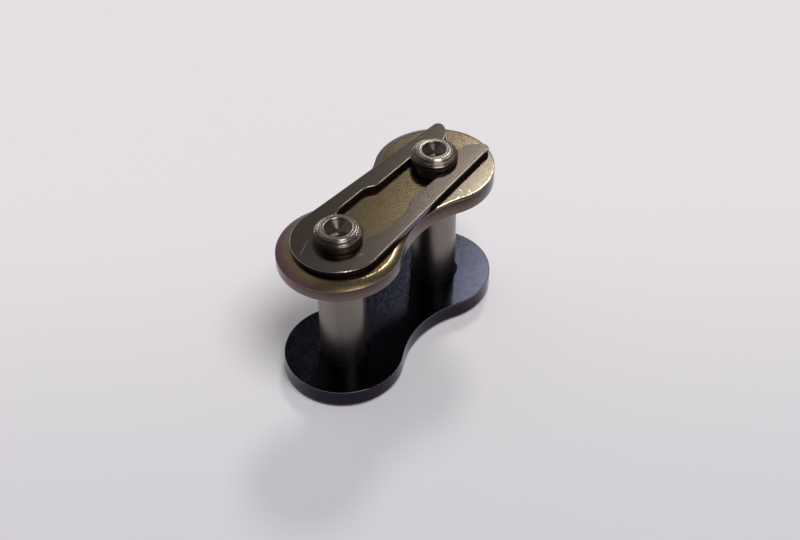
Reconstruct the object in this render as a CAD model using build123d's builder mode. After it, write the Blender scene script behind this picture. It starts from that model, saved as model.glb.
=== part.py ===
from build123d import *
from math import asin, atan, cos, degrees, pi, sin, sqrt
import os

os.makedirs("parts", exist_ok=True)

# Connecting link of a 12.7 mm pitch roller chain, in millimetres.
# The origin lies under the middle of the link, on the plane that the riveted pin ends rest on.
# X runs along the link, Z runs up the pins, and the clip's open end points along +X.

# Driving sizes
pitch = 12.7
plate_height = 10.3
waist_height = 7.0
plate_thickness = 1.5
gap_between_plates = 10.65
pin_diameter = 3.97
neck_diameter = 3.1
leading_head_height = 1.17
trailing_head_height = 1.0
rivet_height = 0.35
clip_thickness = 0.6

# Edges and small features
roll_reach = 1.24
roll_slope = 0.45
roll_overhang = 0.3
roll_waist_rise = 0.3
roll_start_rise = 0.07
roll_fall_along = 0.38139
roll_side_lean = 1.43
roll_entry_radius = 0.3
crisp_edge_radius = 0.08
worn_edge_radius = 0.05
blunt_edge = 0.08
hole_entry = 0.2
head_chamfer_height = 0.46
leading_rim_radius = 1.5
trailing_rim_radius = 1.4
rim_width = 0.33
recess_slope = 0.5
rim_rounding = 0.08
rivet_spread = 0.2
rivet_face_radius = 1.5
rivet_dimple_radius = 0.6
rivet_dimple_depth = 0.15

# Clearances
cover_hole_clearance = 0.03
groove_below_cover_top = 0.05
clip_under_head = 0.03
pocket_around_neck = 0.07
slot_beside_neck = 0.11
window_beside_head = 0.275

# Clip outline
closed_end_width = 2.26
closed_end_setback = 0.07
tip_width = 1.2
tip_corner_radius = 0.5
nose_bite = 0.63
nose_radius = 2.15
window_from_pin = 3.0
window_length = 2.85
pocket_ramp_length = 1.95
window_ramp_length = 1.5

# Levels and places
pin_radius = pin_diameter / 2
neck_radius = neck_diameter / 2
cover_bottom_level = rivet_height + plate_thickness + gap_between_plates
cover_top_level = cover_bottom_level + plate_thickness
groove_bottom_level = cover_top_level - groove_below_cover_top
groove_top_level = cover_top_level + clip_thickness + clip_under_head
leading_x = -pitch / 2
trailing_x = pitch / 2
pin_centres = [(leading_x, 0), (trailing_x, 0)]


def plate_blank(spread=0, waist_rise=0):
    """Return a figure-eight blank, grown all round by spread and at its waist by waist_rise as well."""
    end_radius = plate_height / 2 + spread
    half_waist = waist_height / 2 + spread + waist_rise
    rise = end_radius**2 - trailing_x**2 - half_waist**2
    flank_radius = rise / (2 * (half_waist - end_radius))
    end_share = end_radius / (end_radius + flank_radius)
    meet_x = trailing_x * (1 - end_share)
    meet_y = (half_waist + flank_radius) * end_share
    tip_x = trailing_x + end_radius
    with BuildSketch() as blank:
        with BuildLine():
            ThreePointArc((meet_x, meet_y), (0, half_waist), (-meet_x, meet_y))
            ThreePointArc((-meet_x, meet_y), (-tip_x, 0), (-meet_x, -meet_y))
            ThreePointArc((-meet_x, -meet_y), (0, -half_waist), (meet_x, -meet_y))
            ThreePointArc((meet_x, -meet_y), (tip_x, 0), (meet_x, meet_y))
        make_face()
    return blank.sketch


# Pin plate: blanked with crisp edges and pressed onto the pins
with BuildPart() as pin_plate:
    with BuildSketch(Plane.XY.offset(rivet_height)):
        add(plate_blank())
        with Locations(*pin_centres):
            Circle(pin_radius, mode=Mode.SUBTRACT)
    extrude(amount=plate_thickness)
    outer_face = faces().filter_by(Axis.Z).sort_by(Axis.Z)[0]
    chamfer(outer_face.outer_wire().edges(), blunt_edge)
    inner_face = faces().filter_by(Axis.Z).sort_by(Axis.Z)[-1]
    fillet(inner_face.outer_wire().edges(), crisp_edge_radius)
    inner_face = faces().filter_by(Axis.Z).sort_by(Axis.Z)[-1]
    chamfer(inner_face.inner_wires().edges(), hole_entry)
pin_plate.part.label = "pin_plate"
export_step(pin_plate.part, "parts/pin_plate.step")

# The blanking punch leans both ways: the edge is rolled down deep at the closed end, least at the open one
low_end_x = leading_x - plate_height / 2
roll_lean = degrees(atan(roll_fall_along / (pitch + plate_height)))
roll_start_level = cover_top_level + roll_start_rise
leaning_plane = Plane((low_end_x, 0, roll_start_level)).rotated((-roll_side_lean, -roll_lean, 0))
with BuildPart() as rolled_block:
    with BuildSketch(leaning_plane):
        with Locations((-low_end_x, 0)):
            add(plate_blank(roll_overhang, roll_waist_rise))
    extrude(amount=-2 * plate_thickness)
    leaning_face = faces().sort_by(Axis.Z)[-1]
    roll_run = roll_reach + roll_overhang
    chamfer(leaning_face.edges(), roll_run, roll_run * roll_slope, reference=leaning_face)

# Cover plate: slips over the pins, and its rolled edge ends in a crease above the wall
with BuildPart() as cover_plate:
    with BuildSketch(Plane.XY.offset(cover_bottom_level)):
        add(plate_blank())
        with Locations(*pin_centres):
            Circle(pin_radius + cover_hole_clearance, mode=Mode.SUBTRACT)
    extrude(amount=plate_thickness)
    add(rolled_block.part, mode=Mode.INTERSECT)
    outer_face = faces().filter_by(Axis.Z).sort_by(Axis.Z)[-1]
    fillet(outer_face.outer_wire().edges(), roll_entry_radius)
    walls = faces().filter_by(GeomType.CYLINDER).filter_by(lambda face: face.radius > pin_diameter)
    fillet([wall.edges().sort_by(Axis.Z)[-1] for wall in walls], worn_edge_radius)
    inner_face = faces().filter_by(Axis.Z).sort_by(Axis.Z)[0]
    chamfer(inner_face.outer_wire().edges(), blunt_edge)
    inner_face = faces().filter_by(Axis.Z).sort_by(Axis.Z)[0]
    chamfer(inner_face.inner_wires().edges(), hole_entry)
cover_plate.part.label = "cover_plate"
export_step(cover_plate.part, "parts/cover_plate.step")

# Pins: turned in one piece, from the riveted foot up to the dished head above the clip groove
pins = {
    "leading_pin": (leading_x, leading_head_height, leading_rim_radius),
    "trailing_pin": (trailing_x, trailing_head_height, trailing_rim_radius),
}
for pin_name, (pin_x, head_height, rim_radius) in pins.items():
    pin_top_level = groove_top_level + head_height
    recess_radius = rim_radius - rim_width
    with BuildPart() as pin:
        with BuildSketch(Plane.XZ.shift_origin((pin_x, 0, 0))):
            with BuildLine():
                Polyline((0, rivet_dimple_depth), (rivet_dimple_radius, 0), (rivet_face_radius, 0))
                TangentArc(
                    (rivet_face_radius, 0),
                    (pin_radius + rivet_spread, rivet_height),
                    tangent=(1, 0),
                )
                Polyline(
                    (pin_radius + rivet_spread, rivet_height),
                    (pin_radius, rivet_height),
                    (pin_radius, groove_bottom_level),
                    (neck_radius, groove_bottom_level),
                    (neck_radius, groove_top_level),
                    (pin_radius, groove_top_level),
                    (pin_radius, pin_top_level - head_chamfer_height),
                    (rim_radius, pin_top_level),
                    (recess_radius, pin_top_level),
                    (0, pin_top_level - recess_radius * recess_slope),
                    (0, rivet_dimple_depth),
                )
            make_face()
        revolve(axis=Axis((pin_x, 0, 0), (0, 0, 1)))
        rim_edges = edges().filter_by(GeomType.CIRCLE).group_by(Axis.Z)[-1]
        fillet(rim_edges, rim_rounding)
    pin.part.label = pin_name
    export_step(pin.part, f"parts/{pin_name}.step")

# Spring clip: the pocket hugs the leading pin's neck, and two noses close in behind the trailing pin
pocket_half = neck_radius + pocket_around_neck
slot_half = neck_radius + slot_beside_neck
window_half = pin_radius + window_beside_head
window_start_x = leading_x + window_from_pin
window_end_x = window_start_x + window_length
slot_start_x = window_end_x + window_ramp_length
pocket_end_x = window_start_x - pocket_ramp_length

# Each nose is an arc that leaves the slot's round end at a tangent and runs on to the tip.
nose_y = neck_radius - nose_bite + nose_radius
nose_turn = asin(nose_y / (slot_half + nose_radius))
nose_x = trailing_x + (slot_half + nose_radius) * cos(nose_turn)
nose_start = (trailing_x + slot_half * cos(nose_turn), slot_half * sin(nose_turn))
slot_end_turn = (nose_turn + pi / 2) / 2
slot_end_middle = (trailing_x + slot_half * cos(slot_end_turn), slot_half * sin(slot_end_turn))

# The straight sides leave the closed end at a tangent and taper towards the tips.
closed_radius = pocket_half + closed_end_width
closed_x = leading_x - closed_end_setback
tip_y = slot_half + tip_width
tip_x = nose_x + sqrt(nose_radius**2 - (tip_y - nose_y) ** 2)
tip_distance = sqrt((tip_x - closed_x) ** 2 + tip_y**2)
side_turn = asin(tip_y / tip_distance) - asin(closed_radius / tip_distance)
side_start = (closed_x - closed_radius * sin(side_turn), closed_radius * cos(side_turn))

with BuildPart() as spring_clip:
    with BuildSketch(Plane.XY.offset(cover_top_level)):
        with BuildLine():
            ThreePointArc(
                (closed_x - closed_radius, 0),
                (closed_x - closed_radius * cos(pi / 4), closed_radius * sin(pi / 4)),
                side_start,
            )
            Line(side_start, (tip_x, tip_y))
            ThreePointArc((tip_x, tip_y), (nose_x, nose_y - nose_radius), nose_start)
            ThreePointArc(nose_start, slot_end_middle, (trailing_x, slot_half))
            Line((trailing_x, slot_half), (slot_start_x, slot_half))
            Spline(
                (slot_start_x, slot_half),
                (window_end_x, window_half),
                tangents=((-1, 0), (-1, 0)),
            )
            Line((window_end_x, window_half), (window_start_x, window_half))
            Spline(
                (window_start_x, window_half),
                (pocket_end_x, pocket_half),
                tangents=((-1, 0), (-1, 0)),
            )
            Line((pocket_end_x, pocket_half), (leading_x, pocket_half))
            ThreePointArc(
                (leading_x, pocket_half),
                (leading_x - pocket_half * cos(pi / 4), pocket_half * sin(pi / 4)),
                (leading_x - pocket_half, 0),
            )
            mirror(about=Plane.XZ)
        make_face()
        fillet(vertices().group_by(Axis.X)[-1], tip_corner_radius)
    extrude(amount=clip_thickness)
    fillet(edges().group_by(Axis.Z)[-1], crisp_edge_radius)
    chamfer(edges().group_by(Axis.Z)[0], blunt_edge)
spring_clip.part.label = "spring_clip"
export_step(spring_clip.part, "parts/spring_clip.step")
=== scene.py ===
from math import cos, radians, sin

import bpy
from mathutils import Matrix, Vector


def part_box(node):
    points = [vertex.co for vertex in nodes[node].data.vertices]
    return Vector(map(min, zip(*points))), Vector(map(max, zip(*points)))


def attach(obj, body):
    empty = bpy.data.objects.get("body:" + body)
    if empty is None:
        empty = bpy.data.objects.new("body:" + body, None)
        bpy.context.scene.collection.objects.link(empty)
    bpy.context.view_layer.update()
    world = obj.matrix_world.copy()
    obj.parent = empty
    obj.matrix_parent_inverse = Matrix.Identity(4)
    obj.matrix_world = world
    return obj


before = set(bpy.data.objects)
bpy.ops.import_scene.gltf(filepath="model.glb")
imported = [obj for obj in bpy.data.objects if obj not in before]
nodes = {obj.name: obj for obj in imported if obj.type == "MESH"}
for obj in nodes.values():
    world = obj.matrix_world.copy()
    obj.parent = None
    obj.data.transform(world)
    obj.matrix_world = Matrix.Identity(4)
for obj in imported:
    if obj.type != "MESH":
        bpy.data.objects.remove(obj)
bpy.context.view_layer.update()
scene = bpy.context.scene

MM = 0.001

# Places and levels of the link, taken from its solids
cover_low, cover_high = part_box("cover_plate")
leading_low, leading_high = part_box("leading_pin")
trailing_low, trailing_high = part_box("trailing_pin")
cover_thickness = cover_high.z - cover_low.z
clip_top = max(corner.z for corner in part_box("spring_clip"))
leading_x = (leading_low.x + leading_high.x) / 2
trailing_x = (trailing_low.x + trailing_high.x) / 2

# Sizes of the pin heads
pin_radius = 1.985 * MM
leading_rim_radius = 1.5 * MM
trailing_rim_radius = 1.4 * MM
rim_width = 0.33 * MM
head_chamfer = 0.46 * MM

# Tool marks on the pin heads
groove_width = 0.18 * MM
groove_depth = 0.02 * MM
ridge_wire_radius = 0.045 * MM
cone_ridges = 4
wall_ridges = 3
ridge_seed = 7
ring_steps = 128
wire_steps = 8

# The cover's rolled edge, deepest at the closed end and on the side that Y points to
roll_depth = 0.3 * MM
roll_rise_along_y = 0.025
roll_fall_along_x = 0.0166
roll_steepness = 0.6
roll_easing = 0.36

# Small marks, each as start x and y, end x and y, and width in millimetres
cover_specks = [
    (4.02, -4.25, 4.14, -4.2, 0.12),
    (5.2, -4.55, 5.3, -4.45, 0.1),
    (4.9, -3.95, 4.95, -3.7, 0.07),
    (8.45, 3.1, 8.75, 3.15, 0.06),
    (4.0, 0.95, 4.1, 1.0, 0.08),
]
clip_scratches = [
    (-9.63, 1.16, -8.05, 1.79, 0.055),
    (7.7, 2.74, 8.15, 2.62, 0.055),
]
mark_strength = 0.8
pit_x = -6.68 * MM
pit_y = -2.69 * MM
pit_inner_radius = 0.06 * MM
pit_ring_radius = 0.11 * MM
pit_outer_radius = 0.17 * MM

# Ways across the floor as the camera sees it: to its left, and away from it
leftward = (-0.622, 0.783, 0)
farward = (0.783, 0.622, 0)

# Colours, each pair for the dark and the light spots of a speckle
bare_steel = (0.62, 0.57, 0.52, 1)
blued_pair = (0.0098, 0.0106, 0.017, 1), (0.0205, 0.0225, 0.0325, 1)
blued_wall = (0.026, 0.019, 0.034, 1)
straw_pair = (0.175, 0.12, 0.055, 1), (0.3, 0.235, 0.13, 1)
# Painted sheen: a greyer straw for where the highlight lies
painted_sheen_straw_pair = (0.15, 0.125, 0.085, 1), (0.205, 0.18, 0.13, 1)
# Painted light: a lighter straw for the far side of the open end
painted_light_straw_pair = (0.235, 0.165, 0.095, 1), (0.385, 0.3, 0.195, 1)
roll_purple = (0.19, 0.09, 0.115, 1)
cover_wall_foot = (0.16, 0.127, 0.118, 1)
cover_wall_middle = (0.115, 0.077, 0.06, 1)
cover_wall_top = (0.07, 0.038, 0.042, 1)
spring_pair = (0.142, 0.118, 0.097, 1), (0.178, 0.151, 0.128, 1)
spring_wall = (0.085, 0.05, 0.075, 1)
pit_rust = (0.6, 0.33, 0.22, 1)
shank_pair = (0.2, 0.175, 0.16, 1), (0.25, 0.225, 0.205, 1)
head_pair = (0.085, 0.062, 0.055, 1), (0.125, 0.098, 0.085, 1)
# Painted highlight: a lighter colour for the crests of the turning grooves
ridge_painted_highlight = (0.27, 0.24, 0.205, 1)
rim_shine = (0.34, 0.31, 0.265, 1)
recess_brown = (0.135, 0.1, 0.088, 1)
# Painted shade: the paper darkens towards the camera
paper_near_painted_shade = (0.8, 0.785, 0.83, 1)
paper_far = (0.97, 0.935, 0.965, 1)


class Wiring:
    """Adds nodes to one tree and joins them up."""

    def __init__(self, tree):
        self.tree = tree

    def node(self, kind, **settings):
        made = self.tree.nodes.new(kind)
        for name, value in settings.items():
            setattr(made, name, value)
        return made

    def join(self, source, target):
        """Link an output to an input, or give the input a plain value."""
        if hasattr(source, "is_output"):
            self.tree.links.new(source, target)
        else:
            target.default_value = source

    def filled(self, kind, values, **settings):
        """A new node with its inputs filled by name."""
        made = self.node(kind, **settings)
        for name, value in values.items():
            self.join(value, made.inputs[name])
        return made

    def maths(self, operation, *values, clamp=False):
        made = self.node("ShaderNodeMath", operation=operation, use_clamp=clamp)
        for slot, value in zip(made.inputs, values):
            self.join(value, slot)
        return made.outputs["Value"]

    def vector_maths(self, operation, *values):
        made = self.node("ShaderNodeVectorMath", operation=operation)
        for slot, value in zip(made.inputs, values):
            self.join(value, slot)
        return made.outputs

    def dot(self, vector, direction):
        return self.vector_maths("DOT_PRODUCT", vector, direction)["Value"]

    def split(self, vector):
        return self.filled("ShaderNodeSeparateXYZ", {"Vector": vector}).outputs

    def smooth_step(self, value, start, end, at_start=0.0, at_end=1.0):
        """Run smoothly from at_start to at_end while the value goes from start to end."""
        values = {
            "Value": value,
            "From Min": start,
            "From Max": end,
            "To Min": at_start,
            "To Max": at_end,
        }
        made = self.filled("ShaderNodeMapRange", values, interpolation_type="SMOOTHSTEP")
        return made.outputs["Result"]

    def blend(self, share, first, second):
        """Mix two colours."""
        values = {"Factor": share, "A": first, "B": second}
        return self.filled("ShaderNodeMix", values, data_type="RGBA").outputs["Result"]

    def between(self, share, first, second):
        """Mix two numbers."""
        values = {"Factor": share, "A": first, "B": second}
        return self.filled("ShaderNodeMix", values, data_type="FLOAT").outputs["Result"]

    def stretch(self, share, start, end):
        """The value at a share of the way from start to end, past the ends as well."""
        run = self.maths("SUBTRACT", end, start)
        return self.maths("ADD", start, self.maths("MULTIPLY", share, run))

    def reach(self, x, y, centre_x, centre_y=0.0):
        """Distance from an upright axis."""
        across = self.maths("SUBTRACT", x, centre_x)
        along = self.maths("SUBTRACT", y, centre_y)
        across_squared = self.maths("MULTIPLY", across, across)
        along_squared = self.maths("MULTIPLY", along, along)
        return self.maths("SQRT", self.maths("ADD", across_squared, along_squared))

    def noise(self, place, scale, detail, roughness=0.5):
        values = {"Vector": place, "Scale": scale, "Detail": detail, "Roughness": roughness}
        return self.filled("ShaderNodeTexNoise", values).outputs["Fac"]

    def group(self, tree, **values):
        """A group's outputs, its inputs given with underscores for the spaces in their names."""
        by_name = {name.replace("_", " "): value for name, value in values.items()}
        return self.filled("ShaderNodeGroup", by_name, node_tree=tree).outputs

    def surface_normal(self):
        return self.node("ShaderNodeNewGeometry").outputs["Normal"]


def new_group(name, inputs, outputs):
    """A shader node group: inputs as name, socket type and starting value, outputs by name."""
    tree = bpy.data.node_groups.new(name, "ShaderNodeTree")
    for label, kind, start in inputs:
        made = tree.interface.new_socket(label, in_out="INPUT", socket_type=kind)
        if start is not None:
            made.default_value = start
    for label in outputs:
        tree.interface.new_socket(label, in_out="OUTPUT", socket_type="NodeSocketFloat")
    wires = Wiring(tree)
    take = wires.node("NodeGroupInput").outputs
    give = wires.node("NodeGroupOutput").inputs
    return tree, wires, take, give


# Effects that the finishes share
def speckle_group():
    """Fine speckle of rolled and tumbled steel, as a mask of its light spots."""
    tree, wires, take, give = new_group(
        "steel_speckle",
        [
            ("Place", "NodeSocketVector", None),
            ("Speckle Size", "NodeSocketFloat", 0.2 * MM),
            ("Contrast", "NodeSocketFloat", 0.5),
        ],
        ["Mask"],
    )
    broad_share = 0.2
    broad_scale_share = 0.22
    full_gain = 4.0
    fine_scale = wires.maths("DIVIDE", 1.0, take["Speckle Size"])
    broad_scale = wires.maths("MULTIPLY", fine_scale, broad_scale_share)
    fine = wires.noise(take["Place"], fine_scale, detail=3.0, roughness=0.6)
    broad = wires.noise(take["Place"], broad_scale, detail=2.0)
    both = wires.maths(
        "ADD",
        wires.maths("MULTIPLY", fine, 1.0 - broad_share),
        wires.maths("MULTIPLY", broad, broad_share),
    )
    gain = wires.maths("MULTIPLY", take["Contrast"], full_gain)
    spread = wires.maths("MULTIPLY", wires.maths("SUBTRACT", both, 0.5), gain)
    wires.join(wires.maths("ADD", spread, 0.5, clamp=True), give["Mask"])
    return tree


def edge_group():
    """Turned runs from 0 on the level to 1 on walls, and Worn peaks on the rounded edge between them.

    The inputs are the upward part of the surface's normal: 1 on the level and 0 on a wall.
    """
    tree, wires, take, give = new_group(
        "turned_edge",
        [
            ("Turn Start", "NodeSocketFloat", 0.99),
            ("Turn End", "NodeSocketFloat", 0.3),
            ("Worn Start", "NodeSocketFloat", 0.85),
            ("Worn End", "NodeSocketFloat", 0.1),
        ],
        ["Turned", "Worn"],
    )
    up = wires.split(wires.surface_normal())["Z"]
    turned = wires.smooth_step(up, take["Turn End"], take["Turn Start"], 1.0, 0.0)
    wires.join(turned, give["Turned"])
    both_ends = wires.maths("ADD", take["Worn Start"], take["Worn End"])
    middle = wires.maths("MULTIPLY", both_ends, 0.5)
    rising = wires.smooth_step(up, take["Worn End"], middle)
    falling = wires.smooth_step(up, middle, take["Worn Start"], 1.0, 0.0)
    wires.join(wires.maths("MULTIPLY", rising, falling), give["Worn"])
    return tree


def roll_group():
    """Height rounds off the cover's rolled edge. Share runs from 0 on the level to 1 at the crease."""
    tree, wires, take, give = new_group(
        "rolled_edge",
        [("Place", "NodeSocketVector", None), ("Top", "NodeSocketFloat", 14 * MM)],
        ["Height", "Share"],
    )
    x, y, z = wires.split(take["Place"])
    rise = wires.maths("MULTIPLY", y, roll_rise_along_y)
    fall = wires.maths("MULTIPLY", x, roll_fall_along_x)
    depth = wires.maths("ADD", wires.maths("SUBTRACT", rise, fall), roll_depth)
    sunk = wires.maths("SUBTRACT", take["Top"], z)
    share = wires.maths("DIVIDE", sunk, depth, clamp=True)
    easing = wires.maths("MULTIPLY", share, roll_easing)
    steepness = wires.maths("SUBTRACT", roll_steepness, easing)
    height = wires.maths("MULTIPLY", depth, wires.maths("MULTIPLY", share, steepness))
    wires.join(height, give["Height"])
    wires.join(share, give["Share"])
    return tree


def turning_group():
    """Height of the grooves that turning leaves on a head, and Ridge, their crests in broken arcs,
    which get a painted highlight.
    """
    tree, wires, take, give = new_group(
        "turning_grooves",
        [
            ("Place", "NodeSocketVector", None),
            ("Axis X", "NodeSocketFloat", 0.0),
            ("Groove Size", "NodeSocketFloat", 0.1 * MM),
        ],
        ["Height", "Ridge"],
    )
    x, y, z = wires.split(take["Place"])
    radius = wires.reach(x, y, take["Axis X"])
    outwards = wires.maths("SUBTRACT", radius, z)
    values = {
        "W": wires.maths("DIVIDE", outwards, take["Groove Size"]),
        "Scale": 1.0,
        "Detail": 1.0,
    }
    rings = wires.filled("ShaderNodeTexNoise", values, noise_dimensions="1D").outputs["Fac"]
    wires.join(rings, give["Height"])
    arcs_per_groove = 0.15
    arc_scale = wires.maths("DIVIDE", arcs_per_groove, take["Groove Size"])
    unbroken = wires.smooth_step(wires.noise(take["Place"], arc_scale, detail=1.0), 0.35, 0.6)
    crest = wires.smooth_step(rings, 0.53, 0.63)
    wires.join(wires.maths("MULTIPLY", crest, unbroken), give["Ridge"])
    return tree


def scratch_group():
    """A straight scratch, drawn as a mask that fades out over its width."""
    tree, wires, take, give = new_group(
        "scratch",
        [
            ("Place", "NodeSocketVector", None),
            ("Start", "NodeSocketVector", None),
            ("Run", "NodeSocketVector", None),
            ("Width", "NodeSocketFloat", 0.05 * MM),
        ],
        ["Mask"],
    )
    from_start = wires.vector_maths("SUBTRACT", take["Place"], take["Start"])["Vector"]
    along = wires.dot(from_start, take["Run"])
    run_squared = wires.dot(take["Run"], take["Run"])
    share = wires.maths("DIVIDE", along, run_squared, clamp=True)
    values = {"Vector": take["Run"], "Scale": share}
    nearest = wires.filled("ShaderNodeVectorMath", values, operation="SCALE").outputs["Vector"]
    gap = wires.vector_maths("DISTANCE", from_start, nearest)["Value"]
    wires.join(wires.smooth_step(gap, 0.0, take["Width"], 1.0, 0.0), give["Mask"])
    return tree


speckle = speckle_group()
turned_edge = edge_group()
rolled_edge = roll_group()
turning_grooves = turning_group()
scratch = scratch_group()


# Finishes
def new_material(name):
    """A metal to be finished: the material, its wiring, its shader and the place on the link."""
    material = bpy.data.materials.new(name)
    material.use_nodes = True
    material.node_tree.nodes.clear()
    wires = Wiring(material.node_tree)
    shader = wires.node("ShaderNodeBsdfPrincipled")
    end = wires.node("ShaderNodeOutputMaterial")
    wires.join(shader.outputs["BSDF"], end.inputs["Surface"])
    shader.inputs["Metallic"].default_value = 1.0
    place = wires.node("ShaderNodeTexCoord").outputs["Object"]
    return material, wires, shader, place


def bump(wires, shader, height, strength, distance):
    values = {"Strength": strength, "Distance": distance, "Height": height}
    wires.join(wires.filled("ShaderNodeBump", values).outputs["Normal"], shader.inputs["Normal"])


def worn_bare(wires, edge, colour, strength):
    """Bare the steel along a worn edge."""
    share = wires.maths("MULTIPLY", edge["Worn"], strength)
    return wires.blend(share, colour, bare_steel)


def marked(wires, place, colour, marks, level):
    """Lay small bright marks over a colour, all at one level."""
    for x, y, end_x, end_y, width in marks:
        mask = wires.group(
            scratch,
            Place=place,
            Start=(x * MM, y * MM, level),
            Run=((end_x - x) * MM, (end_y - y) * MM, 0),
            Width=width * MM,
        )["Mask"]
        colour = wires.blend(wires.maths("MULTIPLY", mask, mark_strength), colour, bare_steel)
    return colour


def blued_steel():
    """Blue-black and finely speckled, half worn along the edges."""
    material, wires, shader, place = new_material("blued_steel")
    spots = wires.group(speckle, Place=place, Speckle_Size=0.22 * MM, Contrast=0.9)["Mask"]
    edge = wires.group(turned_edge, Turn_Start=0.97, Turn_End=0.2)
    walled = wires.blend(edge["Turned"], wires.blend(spots, *blued_pair), blued_wall)
    wires.join(worn_bare(wires, edge, walled, strength=0.5), shader.inputs["Base Color"])
    worn_roughness = 0.3
    unworn_roughness = wires.smooth_step(spots, 0.0, 1.0, at_start=0.15, at_end=0.18)
    roughness = wires.between(edge["Worn"], unworn_roughness, worn_roughness)
    wires.join(roughness, shader.inputs["Roughness"])
    return material


def straw_with_painted_light(wires, place, spots):
    """Straw on the cover's top, with a painted sheen greying it on the right and painted light
    lightening the far side of the open end.
    """
    painted_sheen_from, painted_sheen_to = -1.5 * MM, -5 * MM
    painted_light_from, painted_light_to = 6 * MM, 7.5 * MM
    # Painted sheen: the straw is paled to grey towards the right, where the back sun's highlight lies.
    painted_sheen_share = wires.smooth_step(wires.dot(place, leftward), painted_sheen_to, painted_sheen_from, 1.0, 0.0)
    # Painted light: the far side of the open end is made lighter.
    painted_lightness = wires.smooth_step(wires.dot(place, farward), painted_light_from, painted_light_to)
    straw = wires.blend(spots, *straw_pair)
    tint = wires.blend(painted_sheen_share, straw, wires.blend(spots, *painted_sheen_straw_pair))
    return wires.blend(painted_lightness, tint, wires.blend(spots, *painted_light_straw_pair))


def cover_wall_tint(wires, z):
    """The cover's wall, from grey-brown at its foot to a dark purple-brown under the crease."""
    lift = wires.maths("DIVIDE", wires.maths("SUBTRACT", z, cover_low.z), cover_thickness)
    lower = wires.blend(wires.smooth_step(lift, 0.1, 0.6), cover_wall_foot, cover_wall_middle)
    return wires.blend(wires.smooth_step(lift, 0.5, 0.85), lower, cover_wall_top)


def straw_steel():
    """Heat-tinted: straw on the level with painted sheen and painted light on it, purple where the
    rolled edge faces left, brown on the wall.
    """
    material, wires, shader, place = new_material("straw_steel")
    spots = wires.group(speckle, Place=place, Speckle_Size=0.16 * MM, Contrast=0.8)["Mask"]
    edge = wires.group(turned_edge, Turn_Start=0.98, Turn_End=0.5, Worn_Start=0.86, Worn_End=0.1)
    roll = wires.group(rolled_edge, Place=place, Top=cover_high.z)
    facing_left = wires.smooth_step(wires.dot(wires.surface_normal(), leftward), 0.05, 0.3)
    purple = wires.maths("MULTIPLY", facing_left, wires.smooth_step(roll["Share"], 0.15, 0.8))
    top = wires.blend(purple, straw_with_painted_light(wires, place, spots), roll_purple)
    walled = wires.blend(edge["Turned"], top, cover_wall_tint(wires, wires.split(place)["Z"]))
    worn = worn_bare(wires, edge, walled, strength=0.8)
    colour = marked(wires, place, worn, cover_specks, cover_high.z)
    wires.join(colour, shader.inputs["Base Color"])
    level_roughness, roll_roughness, worn_roughness = 0.15, 0.24, 0.4
    on_roll = wires.smooth_step(roll["Share"], 0.0, 0.1)
    unworn_roughness = wires.between(on_roll, level_roughness, roll_roughness)
    roughness = wires.between(edge["Worn"], unworn_roughness, worn_roughness)
    wires.join(roughness, shader.inputs["Roughness"])
    # A thin oil film lies on the top but not on the wall.
    off_wall = wires.maths("SUBTRACT", 1.0, edge["Turned"])
    wires.join(wires.maths("MULTIPLY", off_wall, 0.5), shader.inputs["Coat Weight"])
    shader.inputs["Coat Roughness"].default_value = 0.14
    height = wires.maths("MULTIPLY", roll["Height"], off_wall)
    bump(wires, shader, height, strength=1.0, distance=1.0)
    return material


def rust_ring(wires, place):
    """A tiny ring of rust round a pit on the clip's top."""
    x, y, z = wires.split(place)
    gap = wires.reach(x, y, pit_x, pit_y)
    inner = wires.smooth_step(gap, pit_inner_radius, pit_ring_radius)
    outer = wires.smooth_step(gap, pit_ring_radius, pit_outer_radius, 1.0, 0.0)
    on_top = wires.maths("GREATER_THAN", z, clip_top - 0.1 * MM)
    return wires.maths("MULTIPLY", wires.maths("MULTIPLY", inner, outer), on_top)


def spring_steel():
    """Brown-grey and finely speckled, with purple walls, bright edges, scratches and a rust ring."""
    material, wires, shader, place = new_material("spring_steel")
    spots = wires.group(speckle, Place=place, Speckle_Size=0.13 * MM, Contrast=0.7)["Mask"]
    edge = wires.group(turned_edge, Turn_Start=0.6, Turn_End=0.1, Worn_Start=0.97, Worn_End=0.25)
    walled = wires.blend(edge["Turned"], wires.blend(spots, *spring_pair), spring_wall)
    worn = worn_bare(wires, edge, walled, strength=0.8)
    scratched = marked(wires, place, worn, clip_scratches, clip_top)
    colour = wires.blend(rust_ring(wires, place), scratched, pit_rust)
    wires.join(colour, shader.inputs["Base Color"])
    unworn_roughness, worn_roughness = 0.155, 0.35
    roughness = wires.between(edge["Worn"], unworn_roughness, worn_roughness)
    wires.join(roughness, shader.inputs["Roughness"])
    return material


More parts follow.
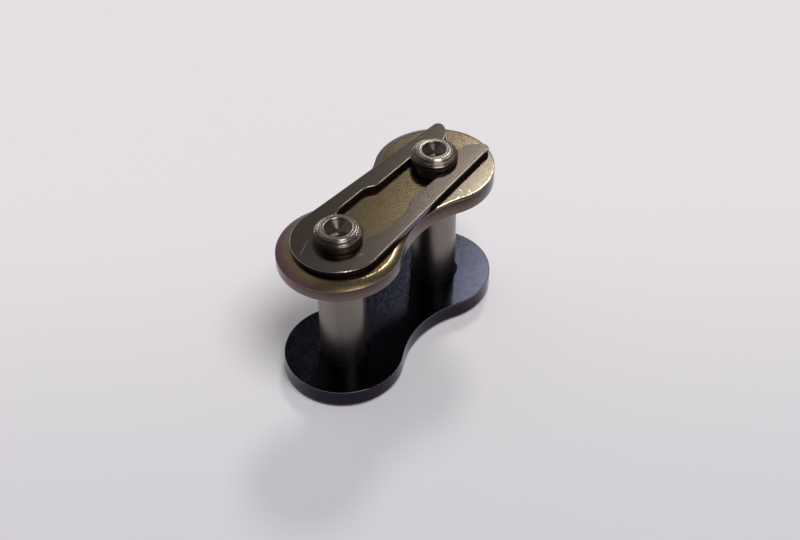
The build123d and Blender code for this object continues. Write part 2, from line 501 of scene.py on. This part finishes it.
def turned_steel(name, axis_x, head_top, rim_radius):
    """Turned pin: smooth and grey on the shank, browner and grooved on the head, with a painted
    highlight on the groove crests, bright on the rim.
    """
    material, wires, shader, place = new_material(name)
    spots = wires.group(speckle, Place=place, Speckle_Size=0.2 * MM, Contrast=0.5)["Mask"]
    grooves = wires.group(turning_grooves, Place=place, Axis_X=axis_x, Groove_Size=groove_width)
    x, y, z = wires.split(place)
    on_head = wires.maths("GREATER_THAN", z, cover_high.z)
    rim_start, rim_full = head_top - 0.16 * MM, head_top - 0.06 * MM
    on_rim = wires.smooth_step(z, rim_start, rim_full)
    recess_radius = rim_radius - rim_width
    lip_start, lip_full = recess_radius - 0.06 * MM, recess_radius + 0.02 * MM
    off_recess = wires.smooth_step(wires.reach(x, y, axis_x), lip_start, lip_full)
    # Painted highlight: the groove crests are made lighter in broken arcs.
    head = wires.blend(grooves["Ridge"], wires.blend(spots, *head_pair), ridge_painted_highlight)
    head = wires.blend(wires.maths("MULTIPLY", on_rim, 0.8), head, rim_shine)
    head = wires.blend(off_recess, recess_brown, head)
    colour = wires.blend(on_head, wires.blend(spots, *shank_pair), head)
    wires.join(colour, shader.inputs["Base Color"])
    shank_roughness, head_roughness, rim_roughness = 0.31, 0.24, 0.17
    crown_roughness = wires.between(on_rim, head_roughness, rim_roughness)
    roughness = wires.between(on_head, shank_roughness, crown_roughness)
    wires.join(roughness, shader.inputs["Roughness"])
    grooved = wires.maths("MULTIPLY", on_head, off_recess)
    height = wires.maths("MULTIPLY", grooves["Height"], grooved)
    bump(wires, shader, height, strength=0.5, distance=groove_depth)
    return material


leading_steel = turned_steel("turned_leading", leading_x, leading_high.z, leading_rim_radius)
trailing_steel = turned_steel("turned_trailing", trailing_x, trailing_high.z, trailing_rim_radius)
finishes = {
    "pin_plate": blued_steel(),
    "cover_plate": straw_steel(),
    "spring_clip": spring_steel(),
    "leading_pin": leading_steel,
    "trailing_pin": trailing_steel,
}
for name, material in finishes.items():
    nodes[name].data.materials.clear()
    nodes[name].data.materials.append(material)


# Turning ridges round the heads
def ridge_tree():
    """Thin wire rings, stepped from one radius and level to another and a little uneven."""
    tree = bpy.data.node_groups.new("turning_ridges", "GeometryNodeTree")
    sizes = (
        ("Rings", "NodeSocketInt"),
        ("First Radius", "NodeSocketFloat"),
        ("Last Radius", "NodeSocketFloat"),
        ("First Level", "NodeSocketFloat"),
        ("Last Level", "NodeSocketFloat"),
        ("Axis X", "NodeSocketFloat"),
        ("Wire Radius", "NodeSocketFloat"),
        ("Unevenness", "NodeSocketFloat"),
        ("Finish", "NodeSocketMaterial"),
    )
    for label, kind in sizes:
        tree.interface.new_socket(label, in_out="INPUT", socket_type=kind)
    tree.interface.new_socket("Geometry", in_out="OUTPUT", socket_type="NodeSocketGeometry")
    wires = Wiring(tree)
    take = wires.node("NodeGroupInput").outputs
    give = wires.node("NodeGroupOutput").inputs

    # One point for each ring, with its share of the way from the first ring to the last
    points = wires.filled("GeometryNodeMeshLine", {"Count": take["Rings"]}).outputs["Mesh"]
    index = wires.node("GeometryNodeInputIndex").outputs["Index"]
    even_share = wires.maths("DIVIDE", index, wires.maths("SUBTRACT", take["Rings"], 1.0))
    drift = wires.filled("FunctionNodeRandomValue", {"Seed": ridge_seed}, data_type="FLOAT")
    # A random number has its limits in the third and fourth inputs, and comes from the second output.
    least, most = drift.inputs[2:4]
    wires.join(wires.maths("MULTIPLY", take["Unevenness"], -1.0), least)
    wires.join(take["Unevenness"], most)
    share = wires.maths("ADD", even_share, drift.outputs[1])

    # The points go up the pin's axis, and a ring as wide as the head is there goes on each
    level = wires.stretch(share, take["First Level"], take["Last Level"])
    spot = wires.filled("ShaderNodeCombineXYZ", {"X": take["Axis X"], "Z": level})
    values = {"Geometry": points, "Position": spot.outputs["Vector"]}
    placed = wires.filled("GeometryNodeSetPosition", values).outputs["Geometry"]
    unit_ring = {"Resolution": ring_steps, "Radius": 1.0}
    ring = wires.filled("GeometryNodeCurvePrimitiveCircle", unit_ring).outputs["Curve"]
    radius = wires.stretch(share, take["First Radius"], take["Last Radius"])
    spread = wires.filled("ShaderNodeCombineXYZ", {"X": radius, "Y": radius, "Z": 1.0})
    values = {"Points": placed, "Instance": ring, "Scale": spread.outputs["Vector"]}
    rings = wires.filled("GeometryNodeInstanceOnPoints", values).outputs["Instances"]
    loose = wires.filled("GeometryNodeRealizeInstances", {"Geometry": rings}).outputs["Geometry"]

    # Each ring becomes a wire, and the wires one smooth mesh
    wire_section = {"Resolution": wire_steps, "Radius": take["Wire Radius"]}
    section = wires.filled("GeometryNodeCurvePrimitiveCircle", wire_section).outputs["Curve"]
    values = {"Curve": loose, "Profile Curve": section}
    round_wires = wires.filled("GeometryNodeCurveToMesh", values).outputs["Mesh"]
    whole = wires.filled("GeometryNodeRealizeInstances", {"Geometry": round_wires})
    smooth = wires.filled("GeometryNodeSetShadeSmooth", {"Geometry": whole.outputs["Geometry"]})
    values = {"Geometry": smooth.outputs["Geometry"], "Material": take["Finish"]}
    finished = wires.filled("GeometryNodeSetMaterial", values)
    wires.join(finished.outputs["Geometry"], give["Geometry"])
    return tree


ridges = ridge_tree()


def turning_ridges(name, **values):
    """Raise rings on a pin's head as a plain mesh that rides with the pins."""
    shell = bpy.data.objects.new(name + "_maker", bpy.data.meshes.new(name + "_maker"))
    scene.collection.objects.link(shell)
    maker = shell.modifiers.new("ridges", "NODES")
    maker.node_group = ridges
    for socket in ridges.interface.items_tree:
        if socket.in_out == "INPUT":
            maker[socket.identifier] = values[socket.name.replace(" ", "_")]
    bpy.context.view_layer.update()
    made = shell.evaluated_get(bpy.context.evaluated_depsgraph_get())
    mesh = bpy.data.meshes.new_from_object(made)
    mesh.name = name
    bpy.data.objects.remove(shell)
    piece = bpy.data.objects.new(name, mesh)
    scene.collection.objects.link(piece)
    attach(piece, "pin_link")


def head_ridges(side, axis_x, top, rim_radius, finish):
    """Ridges on the cone and on the wall of one head, each wire sunk so that it stands just proud."""
    shoulder = top - head_chamfer
    common = dict(Axis_X=axis_x, Wire_Radius=ridge_wire_radius, Finish=finish)
    turning_ridges(
        side + "_cone_ridges",
        Rings=cone_ridges,
        First_Radius=pin_radius - 0.09 * MM,
        Last_Radius=rim_radius + 0.1 * MM,
        First_Level=shoulder + 0.075 * MM,
        Last_Level=top - 0.105 * MM,
        Unevenness=0.05,
        **common,
    )
    turning_ridges(
        side + "_wall_ridges",
        Rings=wall_ridges,
        First_Radius=pin_radius - 0.03 * MM,
        Last_Radius=pin_radius - 0.03 * MM,
        First_Level=clip_top + 0.13 * MM,
        Last_Level=shoulder - 0.08 * MM,
        Unevenness=0.08,
        **common,
    )


head_ridges("leading", leading_x, leading_high.z, leading_rim_radius, leading_steel)
head_ridges("trailing", trailing_x, trailing_high.z, trailing_rim_radius, trailing_steel)


# Floor: matt paper with a painted shade, a little darker towards the camera where the light falls off
def pale_floor():
    half = 600 * MM
    mesh = bpy.data.meshes.new("pale_floor")
    mesh.from_pydata(
        [(-half, -half, 0), (half, -half, 0), (half, half, 0), (-half, half, 0)],
        [],
        [(0, 1, 2, 3)],
    )
    floor = bpy.data.objects.new("pale_floor", mesh)
    scene.collection.objects.link(floor)
    material = bpy.data.materials.new("pale_paper")
    material.use_nodes = True
    wires = Wiring(material.node_tree)
    shader = material.node_tree.nodes["Principled BSDF"]
    place = wires.node("ShaderNodeTexCoord").outputs["Object"]
    # Painted shade: the paper is darker towards the camera, for the light falling off.
    painted_shade_falloff = wires.smooth_step(wires.dot(place, farward), -30 * MM, 20 * MM)
    wires.join(wires.blend(painted_shade_falloff, paper_near_painted_shade, paper_far), shader.inputs["Base Color"])
    shader.inputs["Roughness"].default_value = 0.9
    mesh.materials.append(material)


pale_floor()


# Light: one soft sun behind the link, one high in front on the right, and a dim room
sun_distance = 300 * MM


def soft_sun(name, azimuth, elevation, spread, strength, tint):
    lamp = bpy.data.lights.new(name, "SUN")
    lamp.angle = radians(spread)
    lamp.energy = strength
    lamp.color = tint
    holder = bpy.data.objects.new(name, lamp)
    scene.collection.objects.link(holder)
    turn, lift = radians(azimuth), radians(elevation)
    way = Vector((cos(turn) * cos(lift), sin(turn) * cos(lift), sin(lift)))
    holder.location = way * sun_distance
    holder.rotation_mode = "QUATERNION"
    holder.rotation_quaternion = way.to_track_quat("Z", "Y")


soft_sun("back_sun", 26.5, 45, spread=12, strength=0.68, tint=(1.0, 0.97, 0.94))
soft_sun("front_sun", -104, 67, spread=28, strength=1.6, tint=(1.0, 1.0, 1.0))


def dim_room():
    rightward = (0.55, -0.83, 0)
    high_patch_way = (-0.02, 0.78, 0.62)
    low_patch_way = (0.35, 0.88, 0.32)
    room = bpy.data.worlds.new("room")
    scene.world = room
    room.use_nodes = True
    wires = Wiring(room.node_tree)
    sight = wires.node("ShaderNodeTexCoord").outputs["Generated"]
    # The wall on the right is brighter than the ceiling, and the wall on the left is darker.
    rightness = wires.dot(sight, rightward)
    walls = wires.smooth_step(rightness, -0.6, 0.7, at_start=0.05, at_end=0.24)
    ceiling = 0.12
    upness = wires.smooth_step(wires.split(sight)["Z"], 0.35, 0.95)
    light = wires.between(upness, walls, ceiling)
    # Two pale patches on the far left, one high and one low, are what the steel mirrors.
    high_patch = wires.smooth_step(wires.dot(sight, high_patch_way), 0.79, 0.92, at_end=0.28)
    low_patch = wires.smooth_step(wires.dot(sight, low_patch_way), 0.89, 0.97, at_end=0.34)
    patches = wires.maths("MAXIMUM", high_patch, low_patch)
    backdrop = room.node_tree.nodes["Background"]
    backdrop.inputs["Color"].default_value = (1, 1, 1, 1)
    wires.join(wires.maths("ADD", light, patches), backdrop.inputs["Strength"])


dim_room()


# Camera
def place_camera():
    azimuth, elevation, roll = radians(-51.528), radians(43.552), radians(-0.720)
    aim = Vector((-0.2856, -1.4102, 7.3492)) * MM
    distance = 118.12 * MM
    back = Vector((sin(azimuth) * cos(elevation), -cos(azimuth) * cos(elevation), sin(elevation)))
    sideways = (-back).cross(Vector((0, 0, 1))).normalized()
    upright = sideways.cross(-back)
    right = sideways * cos(roll) + upright * sin(roll)
    up = upright * cos(roll) - sideways * sin(roll)
    lens = bpy.data.cameras.new("camera")
    lens.lens = 62.244
    lens.sensor_width = 36
    lens.clip_start = 0.005
    lens.clip_end = 10
    camera = bpy.data.objects.new("camera", lens)
    scene.collection.objects.link(camera)
    turn = Matrix((right, up, back)).transposed().to_4x4()
    camera.matrix_world = Matrix.Translation(aim + back * distance) @ turn
    scene.camera = camera


place_camera()
scene.view_settings.view_transform = "Standard"
